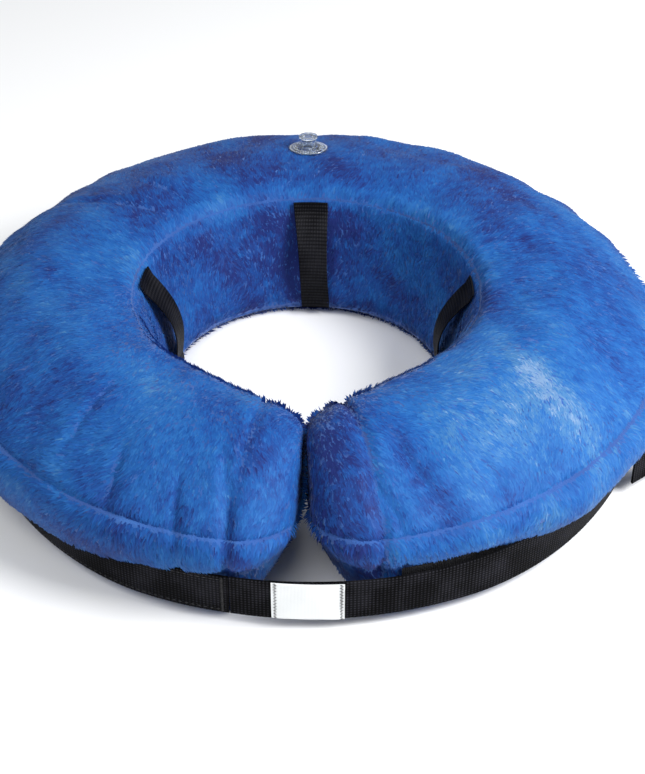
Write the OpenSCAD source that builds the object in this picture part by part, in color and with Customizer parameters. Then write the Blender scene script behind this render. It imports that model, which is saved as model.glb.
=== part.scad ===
// Inflatable recovery collar for a dog: a plush-covered air ring with a gap at the front,
// closed by a webbing strap. It stands in for the rigid cone of an elizabethan collar.
// Origin on the ring's axis at the resting plane, +Z up, gap towards -Y, valve towards +Y.
// All sizes in millimetres.

/* [Ring] */
// Radius of the neck hole at the bottom seam of the inner wall
neck_r = 80; // [60:1:100]
// How much wider the neck hole is at its rim than at its bottom seam, on the radius
rim_flare = 18; // [6:1:24]
// Height of the rim seam
rim_z = 75; // [62:1:92]
// Radius of the seam between the top panel and the outer wall
brim_r = 205; // [168:1:248]
// Height of the seam between the top panel and the outer wall
brim_z = 58; // [52:1:68]
// How far the wall behind the strap lies inside the brim seam
seat_inset = 3; // [1:1:8]
// Height of the bottom seams above the resting plane
seam_lift = 5; // [3:1:7]
// Rise of the top panel above a straight line between its seams
top_crown = 15; // [8:1:20]
// Swell of the inner wall into the neck hole
inner_crown = 3; // [0:1:6]
// Swell of the outer wall above the strap
outer_crown = 5; // [2:1:8]
// How far each bottom seam is from the flat part of the bottom panel
heel_w = 12; // [8:1:20]

/* [Front gap] */
// Free space between the two arms where their ends are closest
end_gap = 2; // [1:0.5:6]
// Swell of each end panel beyond the straight line between its inner and outer seams
end_swell = 26; // [12:1:30]
// Angle of that line to the plane of symmetry
end_angle = 11; // [5:1:16]

/* [Sections] */
// Half of the angle that the back section covers
back_half = 40; // [35:1:45]
// Gap between two sections where they meet
joint_gap = 0.4; // [0.3:0.1:1]

/* [Materials] */
// Thickness of the plush cover with its pile laid flat
cover_t = 3; // [2:0.5:4]
// Thickness of the bladder's film
bladder_t = 0.6; // [0.4:0.1:1]
// Space between the cover and the bladder
bladder_gap = 1; // [0.5:0.5:2]
// Gap between two cover panels at a seam
seam_gap = 0.3; // [0.2:0.1:0.6]
// Gap between pieces laid or sewn on one another
lay_gap = 0.2; // [0.1:0.1:0.4]

/* [Strap] */
// Width of the webbing
webbing_w = 25; // [20:1:26]
// Thickness of the webbing
webbing_t = 1.4; // [1:0.1:2]
// Height of the webbing's lower edge
strap_z = 6; // [5:1:8]
// Angle where the webbing sewn to the left arm begins
webbing_from = 152; // [145:1:200]
// Angle from the arm's outer end seam on to the last stitch, where the webbing leaves the left arm
last_stitch = 0.4; // [-1:0.1:1]
// Angle where the strap's free tip begins
strap_to = 331.5; // [320:0.5:336]
// Length of the free tip
tip_len = 30; // [20:1:40]
// Angle at which the free tip stands away from the ring
tip_flare = 22; // [5:1:35]
// How far the strap's own centre lies towards its tip, which lets it lap over the tape
strap_shift = 4; // [3:0.5:6]
// Angle where the hook tape on the strap's inner face begins
hook_from = 302; // [295:1:312]
// Thickness of the hook tape and of the loop tape
tape_t = 1.1; // [0.8:0.1:1.4]
// Width of the hook tape
hook_w = 22; // [16:1:24]
// Angle on the right arm where the first length of loop tape begins
loop_tape_from = 284; // [283:0.5:290]
// Angle where the first length of loop tape ends and the second begins
loop_tape_split = 304.5; // [296:0.5:316]
// Angle where the second length of loop tape ends
loop_tape_to = 348; // [336:0.5:352]
// Height of the lower edge of the loop tape
loop_tape_z = 7; // [6:1:9]
// Width of the loop tape
loop_tape_w = 27; // [22:1:28]
// Width of the sewn label
label_w = 37; // [30:1:44]
// Height of the sewn label
label_h = 24; // [16:1:25]
// Thickness of the label
label_t = 0.5; // [0.3:0.1:0.8]

/* [Collar loops] */
// Width of each elastic loop
loop_w = 18; // [12:1:24]
// Thickness of the elastic
loop_t = 1.2; // [0.8:0.1:1.6]
// Free passage behind a loop at the middle of its height
loop_gap = 10; // [9:0.5:12]
// Angle of the left loop, measured from the X axis towards the back
loop_left = 8; // [0:1:10]
// Angle of the right loop, measured from the X axis towards the back
loop_right = 3; // [0:1:10]

/* [Valve] */
// How far the clear flange stands out round the cup
flange_rim = 4.1; // [3:0.1:6]
// Thickness of the flanges
flange_t = 0.9; // [0.6:0.1:1.4]
// Width of the raised cup's wall, which the stem sinks into
cup_wall = 2.2; // [1.6:0.1:3]
// Height of the cup
cup_h = 2; // [1.6:0.1:2.4]
// Outer radius of the stem
stem_r = 5.2; // [4.3:0.1:6.4]
// Thickness of the stem's wall
stem_wall = 1.8; // [1.4:0.1:2.2]
// Height of the stem above the cover
stem_top = 7; // [6.5:0.5:10]
// Length of the stem below the cover's face
stem_below = 10; // [9:0.5:12]
// Running clearance of the stem in its cup
stem_gap = 0.3; // [0.2:0.05:0.5]
// How far the cap stands out over the stem
cap_lip = 1; // [0.5:0.1:1.6]
// Thickness of the cap
cap_t = 1.8; // [1.2:0.1:2.4]
// Depth of the cap's conical plug
plug_h = 1.4; // [1:0.1:2]
// Thickness of the check flap
flap_t = 0.6; // [0.4:0.1:1]
// Thickness of the cap's tether
tether_d = 1.2; // [1:0.1:1.6]
// Radius of the loop that the tether makes
tether_r = 4.6; // [3.8:0.1:5]

/* [Zip] */
// Half of the angle that the zip covers at the back
zip_half = 34; // [24:1:36]
// Height of the zip's centre line
zip_z = 18; // [17:0.5:19]
// Width of each woven tape
zip_tape_w = 11; // [8:0.5:12]
// Thickness of each woven tape
zip_tape_t = 0.8; // [0.6:0.1:1]
// Diameter of each coil
coil_d = 2.2; // [1.6:0.1:2.8]
// Length of the slider along the zip
slider_len = 11; // [9:0.5:14]
// Thickness of the slider's plate
slider_t = 1.1; // [0.8:0.1:1.4]
// Length of the puller
puller_len = 17; // [12:1:22]
// Width of the puller
puller_w = 6; // [4:0.5:8]
// Thickness of the puller
puller_t = 1; // [0.8:0.1:1.4]

/* [Hidden] */
$fn = 64;

// Fabric and plastic colours
plush = "#2458b8";
plush_shade = "#1c4597";
black = "#16161a";
clear = "#cfe0f0";
white = "#f2f2f0";
metal = "#a9adb3";

// Named points of the ring's section, as [radius, height]
rim_r = neck_r + rim_flare;
seat_r = brim_r - seat_inset;
seat_top = max(strap_z + webbing_w, loop_tape_z + loop_tape_w) + 1;
neck_seam = [neck_r, seam_lift];
rim_seam = [rim_r, rim_z];
brim_seam = [brim_r, brim_z];
seat_edge = [seat_r, seat_top];
foot_seam = [seat_r, seam_lift];
outer_heel = [seat_r - heel_w, 0];
inner_heel = [neck_r + heel_w, 0];

// Angles of the sections, counted from +X towards +Y
back_from = 90 - back_half;
arm_from = 90 + back_half + joint_gap / neck_r * 180 / PI;
arm_to = 270;
end_sweep = 45;
cut_over = 5;
big = 3 * brim_r;
room_h = 3 * rim_z;

// A straight line from p to q with a parabola of height s raised on its left side
function crown_line(p, q, s, n) =
    let (d = q - p, up = [-d[1], d[0]] / norm(d))
    [for (k = [0:n]) let (t = k / n) p + d * t + up * 4 * s * t * (1 - t)];
function head(points) = [for (k = [0:len(points) - 2]) points[k]];

// The outline of the section, clockwise from the neck seam: inner wall, top, outer wall, bottom
inner_steps = 6;
top_steps = 12;
swell_steps = 5;
heel_steps = 3;
heel_crown = 1.5;
inner_line = crown_line(neck_seam, rim_seam, inner_crown, inner_steps);
top_line = crown_line(rim_seam, brim_seam, top_crown, top_steps);
swell_line = crown_line(brim_seam, seat_edge, outer_crown, swell_steps);
bottom_line = concat(
    head(crown_line(foot_seam, outer_heel, heel_crown, heel_steps)), [outer_heel],
    head(crown_line(inner_heel, neck_seam, heel_crown, heel_steps)));
outline = concat(head(inner_line), head(top_line), head(swell_line), [seat_edge], bottom_line);
rim_i = inner_steps;
brim_i = rim_i + top_steps;
foot_i = brim_i + swell_steps + 1;
count = len(outline);

// The outline moved inwards by d, with mitred corners
function unit(v) = v / norm(v);
function mitre(a, b, c) =
    let (u = unit(b - a), v = unit(c - b), n1 = [-u[1], u[0]], n2 = [-v[1], v[0]])
    (n1 + n2) / (1 + n1 * n2);
function inset(points, d) =
    let (n = len(points))
    [for (k = [0:n - 1])
        points[k] - d * mitre(points[(k + n - 1) % n], points[k], points[(k + 1) % n])];
cover_inside = inset(outline, cover_t);
bladder_outside = inset(outline, cover_t + bladder_gap);
bladder_inside = inset(outline, cover_t + bladder_gap + bladder_t);

// The points of a run of the outline, with both ends drawn in by half a seam's gap
function towards(p, q, d) = p + d * unit(q - p);
function run(points, a, b) =
    let (p = [for (k = [a:b]) points[k % count]], n = len(p))
    [for (k = [0:n - 1])
        k == 0 ? towards(p[0], p[1], seam_gap / 2)
        : k == n - 1 ? towards(p[n - 1], p[n - 2], seam_gap / 2)
        : p[k]];
function backwards(p) = [for (k = [len(p) - 1:-1:0]) p[k]];

module panel_profile(a, b)
    polygon(concat(run(outline, a, b), backwards(run(cover_inside, a, b))));

// Turns a profile about the ring's axis from one angle to another
module sweep(from, to)
    rotate([0, 0, from]) rotate_extrude(angle = to - from, $fn = 180) children();

// The swollen end of the left arm in plan, from the neck outwards. The line's own start is set so
// that the swell comes within half the gap of the plane of symmetry.
end_steps = 10;
end_len = (brim_r - neck_r) / cos(end_angle);
end_peak = (1 - tan(end_angle) * end_len / (4 * end_swell)) / 2;
end_reach = cos(end_angle) * 4 * end_swell * end_peak * (1 - end_peak) - sin(end_angle) * end_len * end_peak;
end_from = [-end_gap / 2 - end_reach, -neck_r];
end_line = crown_line(end_from, end_from - [sin(end_angle), cos(end_angle)] * end_len, end_swell, end_steps);

// The plan of the left arm, with its end moved inwards by d
module arm_plan(d) {
    last = end_line[end_steps];
    translate([0, 0, -room_h / 2])
        linear_extrude(2 * room_h)
            polygon(inset(
                concat([[end_from[0], big]], end_line, [last - [big, big], [-3 * big, big]]), d));
}

// One cover panel of the left arm
module arm_panel(a, b)
    intersection() {
        sweep(arm_from, arm_to) panel_profile(a, b);
        arm_plan(cover_t + seam_gap);
    }

module arm_end()
    intersection() {
        sweep(arm_to - end_sweep, arm_to) polygon(inset(outline, seam_gap));
        difference() {
            arm_plan(0);
            arm_plan(cover_t);
        }
    }

module arm_bladder()
    difference() {
        intersection() {
            sweep(arm_from, arm_to) polygon(bladder_outside);
            arm_plan(cover_t + bladder_gap);
        }
        intersection() {
            sweep(arm_from - cut_over, arm_to + cut_over) polygon(bladder_inside);
            arm_plan(cover_t + bladder_gap + bladder_t);
        }
    }

module right() mirror([1, 0, 0]) children();

// Cover and bladder of the back section
module cover_top_back() color(plush)
    difference() {
        sweep(back_from, 180 - back_from) panel_profile(rim_i, brim_i);
        on_valve() cylinder(r = eyelet_r, h = 4 * cover_t, center = true);
    }
module cover_inner_back() color(plush_shade)
    sweep(back_from, 180 - back_from) panel_profile(0, rim_i);
module cover_outer_back() color(plush)
    difference() {
        sweep(back_from, 180 - back_from) panel_profile(brim_i, foot_i);
        sweep(90 - zip_half + coil_in, 90 + zip_half - coil_in)
            translate([seat_r - 2 * cover_t, zip_z - slit_h / 2]) square([4 * cover_t, slit_h]);
    }
module cover_bottom_back() color(plush_shade)
    sweep(back_from, 180 - back_from) panel_profile(foot_i, count);
module bladder_back() color(clear)
    difference() {
        sweep(back_from, 180 - back_from) polygon(bladder_outside);
        sweep(back_from - cut_over, 180 - back_from + cut_over) polygon(bladder_inside);
        on_valve() cylinder(r = throat_r + lay_gap, h = 8 * cover_t, center = true);
    }

// Cover and bladder of the two arms
module cover_top_left() color(plush) arm_panel(rim_i, brim_i);
module cover_inner_left() color(plush_shade) arm_panel(0, rim_i);
module cover_outer_left() color(plush) arm_panel(brim_i, foot_i);
module cover_bottom_left() color(plush_shade) arm_panel(foot_i, count);
module cover_end_left() color(plush_shade) arm_end();
module bladder_left() color(clear) arm_bladder();
module cover_top_right() right() cover_top_left();
module cover_inner_right() right() cover_inner_left();
module cover_outer_right() right() cover_outer_left();
module cover_bottom_right() right() cover_bottom_left();
module cover_end_right() right() cover_end_left();
module bladder_right() right() bladder_left();

// Elastic loops in the neck hole: sewn in at both seams and bowed off the inner wall
loop_steps = 12;
loop_end = 0.02;
loop_hold = 0.1;
function loop_bow(u) =
    u < loop_hold || u > 1 - loop_hold ? 0 : sin(180 * (u - loop_hold) / (1 - 2 * loop_hold));
function loop_side_line(extra) =
    let (d = rim_seam - neck_seam, up = [-d[1], d[0]] / norm(d))
    [for (k = [0:loop_steps]) let (u = loop_end + (1 - 2 * loop_end) * k / loop_steps)
        neck_seam + d * u
            + up * (4 * inner_crown * u * (1 - u) + lay_gap + loop_gap * loop_bow(u) + extra)];
module collar_loop(angle) {
    half = loop_w / 2 / neck_r * 180 / PI;
    color(black)
        sweep(angle - half, angle + half)
            polygon(concat(loop_side_line(0), backwards(loop_side_line(loop_t))));
}
module collar_loop_back() collar_loop(90);
module collar_loop_left() collar_loop(180 - loop_left);
module collar_loop_right() collar_loop(loop_right);

// Where the straight line through the left arm's end seams crosses the circle of the wall behind
// the strap, as a length forwards from the ring's axis, and the angle there
seam_slope = tan(end_angle);
seam_off = end_gap / 2 + end_reach - seam_slope * neck_r;
seam_square = 1 + pow(seam_slope, 2);
seam_cross = seam_slope * seam_off;
seam_forward = (sqrt(pow(seam_cross, 2) + seam_square * (pow(seat_r, 2) - pow(seam_off, 2))) - seam_cross)
    / seam_square;
end_seam_at = 270 - atan((seam_off + seam_slope * seam_forward) / seam_forward);
strap_from = end_seam_at + last_stitch;

// Webbing, tapes and label. The strap's circle is centred a little towards its tip, so that it
// leaves the left arm flush with the sewn webbing and laps over the tapes of the right arm.
strap_way = 340;
strap_centre = strap_shift * [cos(strap_way), sin(strap_way)];
strap_r = seat_r + lay_gap - strap_shift * cos(strap_way - strap_from);
hinge_gap = 0.4;
hook_in = 1;
// An angle about the ring's axis, counted about the strap's own centre instead
function own(angle) = angle - asin(strap_shift * sin(strap_way - angle) / strap_r);
label_mid = 270.6;
module band(from, to, r, t, z, w)
    sweep(from, to) translate([r, z]) square([t, w]);
module on_strap() translate([strap_centre[0], strap_centre[1], 0]) children();
function arc_deg(len, r) = len / r * 180 / PI;

module sewn_webbing() color(black)
    band(webbing_from, strap_from - arc_deg(hinge_gap, seat_r),
        seat_r + lay_gap, webbing_t, strap_z, webbing_w);
module closing_strap() color(black)
    on_strap()
        band(own(strap_from) + arc_deg(hinge_gap, strap_r), own(strap_to),
            strap_r, webbing_t, strap_z, webbing_w);
module hook_tape() color("#26262c")
    on_strap()
        band(own(hook_from), own(strap_to) - hook_in, strap_r - lay_gap / 2 - tape_t, tape_t,
            strap_z + (webbing_w - hook_w) / 2, hook_w);
module label() color(white) {
    half = arc_deg(label_w / 2, strap_r);
    on_strap()
        band(own(label_mid) - half, own(label_mid) + half, strap_r + webbing_t + lay_gap / 2, label_t,
            strap_z + (webbing_w - label_h) / 2, label_h);
}

// The tip is a flat length with a round end, turned outwards about a fold on its outer face
tip_gap = 0.8;
module on_tip()
    on_strap() rotate([0, 0, own(strap_to)]) translate([strap_r + webbing_t, 0, 0])
        rotate([0, 0, -tip_flare]) children();
module strap_tip() color(black)
    on_tip() translate([0, 0, strap_z]) rotate([90, 0, -90]) {
        linear_extrude(webbing_t)
            translate([-tip_gap, 0]) mirror([1, 0]) union() {
                square([tip_len - webbing_w / 2, webbing_w]);
                translate([tip_len - webbing_w / 2, webbing_w / 2]) circle(d = webbing_w);
            }
    }

tape_break = 0.5;
module loop_tape(from, to) color("#1d1d22")
    band(from, to, seat_r + lay_gap, tape_t, loop_tape_z, loop_tape_w);
module loop_tape_front() loop_tape(loop_tape_from, loop_tape_split - tape_break);
module loop_tape_side() loop_tape(loop_tape_split + tape_break, loop_tape_to);

// The valve stands square on the middle of the back section's top panel
top_run = brim_seam - rim_seam;
valve_tilt = atan2(-top_run[1], top_run[0]);
valve_seat = (rim_seam + brim_seam) / 2 + top_crown * [sin(valve_tilt), cos(valve_tilt)];
throat_wall = 0.9;
cup_slope = 0.8;
eyelet_w = 2.4;
eyelet_t = 0.8;
weld_w = 2.6;
throat_r = stem_r + stem_gap + throat_wall;
cup_r = throat_r + cup_wall;
flange_r = cup_r + flange_rim;
port_r = stem_r - stem_wall;
cap_r = stem_r + cap_lip;
eyelet_r = throat_r + eyelet_w;
weld_r = throat_r + weld_w;
crown_r = (top_run * top_run / 4 + top_crown * top_crown) / (2 * top_crown);
weld_depth = cover_t + bladder_gap + bladder_t + lay_gap + weld_r * weld_r / (2 * crown_r);
module on_valve()
    translate([0, valve_seat[0], valve_seat[1]]) rotate([-valve_tilt, 0, 0]) children();

module valve_eyelet() color(black)
    on_valve() translate([0, 0, -cover_t - eyelet_t])
        difference() {
            cylinder(r = eyelet_r - lay_gap, h = cover_t + eyelet_t);
            translate([0, 0, -1]) cylinder(r = throat_r + lay_gap, h = cover_t + eyelet_t + 2);
        }
module valve_flange() color(clear)
    on_valve()
        rotate_extrude() {
            bore = stem_r + stem_gap;
            polygon([
                [bore, -weld_depth - flange_t], [weld_r, -weld_depth - flange_t],
                [weld_r, -weld_depth], [throat_r, -weld_depth], [throat_r, lay_gap],
                [flange_r, lay_gap], [flange_r, lay_gap + flange_t / 2],
                [cup_r, lay_gap + flange_t], [cup_r - cup_slope, cup_h], [bore, cup_h]
            ]);
        }
// The stem is a tube with a cone at its mouth and a seat for the flap at its foot
mouth_lip = 0.5;
mouth_r = stem_r - mouth_lip;
module valve_stem() color(clear)
    on_valve()
        rotate_extrude()
            polygon([
                [port_r, -stem_below], [stem_r, -stem_below], [stem_r, stem_top],
                [mouth_r, stem_top], [port_r, stem_top - plug_h]
            ]);
// The flap is a disc with a tab on its fold side
flap_in = 0.6;
tab_w = 3;
tab_len = 1.4;
module valve_flap() color(clear)
    on_valve() translate([0, 0, -stem_below - lay_gap - flap_t]) {
        cylinder(r = stem_r - flap_in, h = flap_t);
        translate([0, stem_r - flap_in - 1, 0])
            linear_extrude(flap_t) translate([-tab_w / 2, 0]) square([tab_w, tab_len]);
    }
// The tether is a loop that leans down and outwards from the stem's side, on the fold side of the cap
tether_way = -60;
tether_lean = 24;
tether_wrap = 205;
module cap_tether() color(clear)
    on_valve() rotate([0, 0, tether_way])
        translate([stem_r + tether_r, 0,
                stem_top - plug_h - tether_d / 2 - tether_r * sin(tether_lean)])
            rotate([0, tether_lean, 0]) rotate([0, 0, -tether_wrap / 2])
                rotate_extrude(angle = tether_wrap) translate([tether_r, 0]) circle(d = tether_d, $fn = 24);
plug_foot_gap = 0.7;
plug_gap = 0.9;
cap_edge = 0.5;
module valve_cap() color(clear)
    on_valve() translate([0, 0, stem_top + lay_gap])
        rotate_extrude()
            polygon([
                [0, -plug_h], [port_r - plug_foot_gap, -plug_h], [mouth_r - plug_gap, 0], [cap_r, 0],
                [cap_r, cap_t - cap_edge], [cap_r - cap_edge, cap_t], [0, cap_t]
            ]);

// Zip at the back, in the outer wall at strap height
zip_r = seat_r + lay_gap;
slit_room = 3;
slit_h = coil_d * 2 + slit_room;
tape_seam = 0.6;
coil_in = 1;
coil_part = 0.3;
coil_room = 0.1;
coil_r = zip_r + zip_tape_t + coil_d / 2;
coil_off = coil_d / 2 + coil_part / 2;
slider_gap = 0.3;
slider_wall = 1.2;
slider_room = 1;
plate_r = coil_r + coil_d / 2 + slider_gap;
wall_r = zip_r + zip_tape_t + slider_gap;
slider_half = arc_deg(slider_len / 2, zip_r);
slider_h = coil_off * 2 + coil_d + slider_room + 2 * slider_wall;
slider_at = 90 - zip_half + slider_half + coil_in;
module zip_tape_upper() color(plush_shade)
    band(90 - zip_half, 90 + zip_half, zip_r, zip_tape_t, zip_z + tape_seam / 2, zip_tape_w);
module zip_tape_lower() color(plush_shade)
    band(90 - zip_half, 90 + zip_half, zip_r, zip_tape_t, zip_z - tape_seam / 2 - zip_tape_w, zip_tape_w);
module coil(side) color("#2b50a0")
    sweep(90 - zip_half + coil_in, 90 + zip_half - coil_in)
        translate([coil_r, zip_z + side * coil_off]) circle(d = coil_d - coil_room, $fn = 24);
module zip_coil_upper() coil(1);
module zip_coil_lower() coil(-1);
module zip_slider() color(metal)
    sweep(slider_at - slider_half, slider_at + slider_half)
        polygon([
            [wall_r, zip_z + slider_h / 2], [plate_r + slider_t, zip_z + slider_h / 2],
            [plate_r + slider_t, zip_z - slider_h / 2], [wall_r, zip_z - slider_h / 2],
            [wall_r, zip_z - slider_h / 2 + slider_wall],
            [plate_r, zip_z - slider_h / 2 + slider_wall], [plate_r, zip_z + slider_h / 2 - slider_wall],
            [wall_r, zip_z + slider_h / 2 - slider_wall]
        ]);
// The puller hangs on a fold line that runs up the middle of the slider's plate
puller_gap = 0.4;
puller_r = plate_r + slider_t + puller_gap;
module zip_puller() color(metal)
    rotate([0, 0, slider_at]) translate([puller_r, 0, zip_z]) rotate([90, 0, 90])
        linear_extrude(puller_t)
            difference() {
                union() {
                    translate([0, -puller_w / 2]) square([puller_len - puller_w / 2, puller_w]);
                    translate([puller_len - puller_w / 2, 0]) circle(d = puller_w);
                }
                translate([puller_len - puller_w / 2, 0]) circle(d = puller_w / 3);
            }
stop_half = 0.4;
module zip_stop(angle) color(metal)
    band(angle - stop_half, angle + stop_half,
        zip_r + zip_tape_t + lay_gap / 2, coil_d, zip_z - slider_h / 2, slider_h);
module zip_stop_start() zip_stop(90 - zip_half + coil_in / 2);
module zip_stop_end() zip_stop(90 + zip_half - coil_in / 2);

cover_top_back();
cover_inner_back();
cover_outer_back();
cover_bottom_back();
bladder_back();
cover_top_left();
cover_inner_left();
cover_outer_left();
cover_bottom_left();
cover_end_left();
bladder_left();
cover_top_right();
cover_inner_right();
cover_outer_right();
cover_bottom_right();
cover_end_right();
bladder_right();
collar_loop_back();
collar_loop_left();
collar_loop_right();
sewn_webbing();
closing_strap();
hook_tape();
label();
strap_tip();
loop_tape_front();
loop_tape_side();
valve_eyelet();
valve_flange();
valve_stem();
valve_flap();
cap_tether();
valve_cap();
zip_tape_upper();
zip_tape_lower();
zip_coil_upper();
zip_coil_lower();
zip_slider();
zip_puller();
zip_stop_start();
zip_stop_end();
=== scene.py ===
import math

import bpy
import numpy as np
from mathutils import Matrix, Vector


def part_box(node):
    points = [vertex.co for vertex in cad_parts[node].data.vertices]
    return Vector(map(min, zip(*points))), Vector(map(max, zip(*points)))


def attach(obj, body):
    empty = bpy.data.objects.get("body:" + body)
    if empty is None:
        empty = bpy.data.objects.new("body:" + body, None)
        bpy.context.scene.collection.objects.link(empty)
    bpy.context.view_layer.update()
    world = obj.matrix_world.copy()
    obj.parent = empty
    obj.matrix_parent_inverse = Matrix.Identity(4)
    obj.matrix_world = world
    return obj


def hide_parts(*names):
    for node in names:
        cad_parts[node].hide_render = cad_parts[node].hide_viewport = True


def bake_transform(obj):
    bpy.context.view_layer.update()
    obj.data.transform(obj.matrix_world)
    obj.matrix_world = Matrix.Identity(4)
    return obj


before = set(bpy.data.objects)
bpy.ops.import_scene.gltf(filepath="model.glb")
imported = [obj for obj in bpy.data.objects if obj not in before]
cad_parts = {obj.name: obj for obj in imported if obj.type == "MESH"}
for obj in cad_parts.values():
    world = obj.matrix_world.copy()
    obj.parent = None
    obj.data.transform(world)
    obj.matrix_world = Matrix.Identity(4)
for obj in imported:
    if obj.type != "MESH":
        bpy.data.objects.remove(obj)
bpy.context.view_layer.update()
scene = bpy.context.scene
mm = 0.001

# ---------- Studio
# A pale table, a broad soft lamp in front at the right, a weak one at the left, and a camera that
# looks down at the ring from in front. The ring's middle stands a little above the view's middle.
look_at = np.array([0, 0, 40]) * mm
camera_distance = 968.6 * mm
look_down = math.radians(36.65)
left_of_middle = 0.00958
above_middle = 0.0325

ahead = np.array([0, math.cos(look_down), -math.sin(look_down)])
upward = np.array([0, math.sin(look_down), math.cos(look_down)])
sight = ahead - left_of_middle * np.array([1, 0, 0]) + above_middle * upward
camera = bpy.data.objects.new("camera", bpy.data.cameras.new("camera"))
camera.location = look_at - camera_distance * sight / np.linalg.norm(sight)
camera.rotation_euler = (math.pi / 2 - look_down, 0, 0)
camera.data.lens = 75.71
camera.data.sensor_width = 36
camera.data.clip_start = 0.05
scene.collection.objects.link(camera)
scene.camera = camera
scene.view_settings.view_transform = "Standard"


def shaded(name, **values):
    """A new material, its shader's inputs set by name with an underscore for a space."""
    material = bpy.data.materials.new(name)
    material.use_nodes = True
    for key, value in values.items():
        material.node_tree.nodes["Principled BSDF"].inputs[key.replace("_", " ")].default_value = value
    return material


def unit(vectors):
    """Vectors divided by their lengths."""
    return vectors / np.maximum(np.linalg.norm(vectors, axis=-1, keepdims=True), 1e-9)


def lamp(name, toward, distance, size, watts):
    """A square area lamp at a distance along a direction from the ring, facing the ring."""
    light = bpy.data.lights.new(name, "AREA")
    light.size = size
    light.energy = watts
    holder = bpy.data.objects.new(name, light)
    holder.location = look_at + unit(np.array(toward)) * distance
    holder.rotation_mode = "QUATERNION"
    holder.rotation_quaternion = holder.location.to_track_quat("Z", "Y")
    scene.collection.objects.link(holder)


lamp("key_lamp", (0.85, -0.3, 0.8), 1.5, 0.7, 30)
lamp("fill_lamp", (-0.3, -0.6, 1), 1.6, 0.9, 9)

world = bpy.data.worlds.new("studio")
world.use_nodes = True
sky = world.node_tree.nodes["Background"].inputs
sky["Color"].default_value = (0.93, 0.96, 1, 1)
sky["Strength"].default_value = 0.42
scene.world = world

table = bpy.data.meshes.new("table")
edge, level = 3, -0.6 * mm
table.from_pydata([(-edge, -edge, level), (edge, -edge, level), (edge, edge, level), (-edge, edge, level)],
                  [], [(0, 1, 2, 3)])
table_top = bpy.data.objects.new("table", table)
table.materials.append(shaded("pale_table", Base_Color=(0.93, 0.93, 0.93, 1), Roughness=0.9))
scene.collection.objects.link(table_top)

# ---------- Plush cover
# A ring sewn from a top, a bottom, an inner and an outer panel of polyester plush, blown tight by the
# bladder inside. The panels meet in pinched seams, and each arm is closed by a swollen end panel.
# It is made as two halves that meet behind the valve.
neck, rim = np.array([80.0, 5]), np.array([98.0, 75])
brim, seat_edge, foot = np.array([205.0, 58]), np.array([202.0, 35]), np.array([202.0, 5])
outer_heel, inner_heel = np.array([190.0, 0]), np.array([92.0, 0])
pile_lie = 1.3
end_slope = math.tan(math.radians(11))
end_start = 0.27
cap_swell, cap_middle, low_from = 33, 40, 52
half_rows, cap_rows = 104, 12


def crown(p, q, height, count):
    """Points from p up to but not q: the straight line between them plus a parabola on its left side."""
    t = np.arange(count)[:, None] / count
    d = q - p
    return p + d * t + np.array([-d[1], d[0]]) / np.hypot(*d) * 4 * height * t * (1 - t)


def smooth_noise(points, wavelength, seed):
    """A smooth random value about 0 in space: the mean of sine waves in random directions and phases."""
    draw = np.random.default_rng(seed)
    way = draw.normal(size=(3, 14))
    way *= draw.uniform(0.6, 1.5, 14) / np.linalg.norm(way, axis=0)
    return np.sin(points @ way * (2 * np.pi / wavelength) + draw.uniform(0, 2 * np.pi, 14)).mean(-1) * 2.4


# The section, clockwise from the neck seam: each panel's two ends, its crown's height and its columns
panels = [(neck, rim, 2, 18), (rim, brim, 16, 26), (brim, seat_edge, 4.5, 8), (seat_edge, foot, 0, 7),
          (foot, outer_heel, 1.5, 4), (outer_heel, inner_heel, 0, 18), (inner_heel, neck, 1.5, 4)]
section = np.concatenate([crown(*panel) for panel in panels])
neck_column, rim_column, brim_column, seat_column, foot_column = 0, 18, 44, 52, 59
along = np.roll(section, -1, 0) - np.roll(section, 1, 0)
across = np.stack([-along[:, 1], along[:, 0]], 1) / np.linalg.norm(along, axis=1)[:, None]
section = section - across * pile_lie
columns = len(section)


def end_line(radius):
    """How far forward, and to the side, each radius meets the straight line through an arm's end seams.

    The line is side = end_start + end_slope * forward, and the point on it solves a quadratic."""
    a, b, c = 1 + end_slope**2, end_start * end_slope, end_start**2 - radius**2
    forward = (-b + np.sqrt(b * b - a * c)) / a
    return forward, end_start + end_slope * forward


def end_cap(side):
    """Rows that close an arm: the end seam's outline shrunk towards its middle and blown outwards.

    The swell is cap_swell * (1 - share^4)^0.5, less towards the floor and the outer wall, and held back
    smoothly where it would pass the other arm."""
    forward, off = end_line(section[:, 0])
    along_end = np.hypot(forward, off - end_start)
    share = np.cos(np.linspace(0, math.pi / 2, cap_rows + 1)[1:])[:, None]
    middle = (along_end.max() + along_end.min()) / 2
    m = middle + share * (along_end - middle)
    z = cap_middle + share * (section[:, 1] - cap_middle)
    less_low = 1 - 0.75 * np.clip((low_from - z) / low_from, 0, 1) ** 1.4
    less_out = 1 - 0.12 * np.clip((m - 150) / 55, 0, 1) ** 2
    swell = cap_swell * np.sqrt(1 - share**4) * less_low * less_out
    lean = math.atan(end_slope)
    x, y = -(end_start + math.sin(lean) * m), -math.cos(lean) * m
    room = (-x - 0.6) / math.cos(lean)
    blown = (swell ** -8.0 + np.maximum(room, 1) ** -8.0) ** (-1 / 8)
    return np.stack([side * (x + blown * math.cos(lean)), y - blown * math.sin(lean), z], 2)


def ring_grid():
    """The whole cover as rows of sections: from the right end round the back to the left end."""
    forward, off = end_line(section[:, 0])
    sweep = np.pi - np.arctan2(off, forward)
    turn = np.linspace(-1, 1, 2 * half_rows + 1)[:, None] * sweep
    radius, up = np.broadcast_arrays(section[:, 0], section[:, 1], turn)[:2]
    around = np.stack([-radius * np.sin(turn), radius * np.cos(turn), up], 2)
    return np.concatenate([end_cap(-1)[::-1], around, end_cap(1)])


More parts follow.
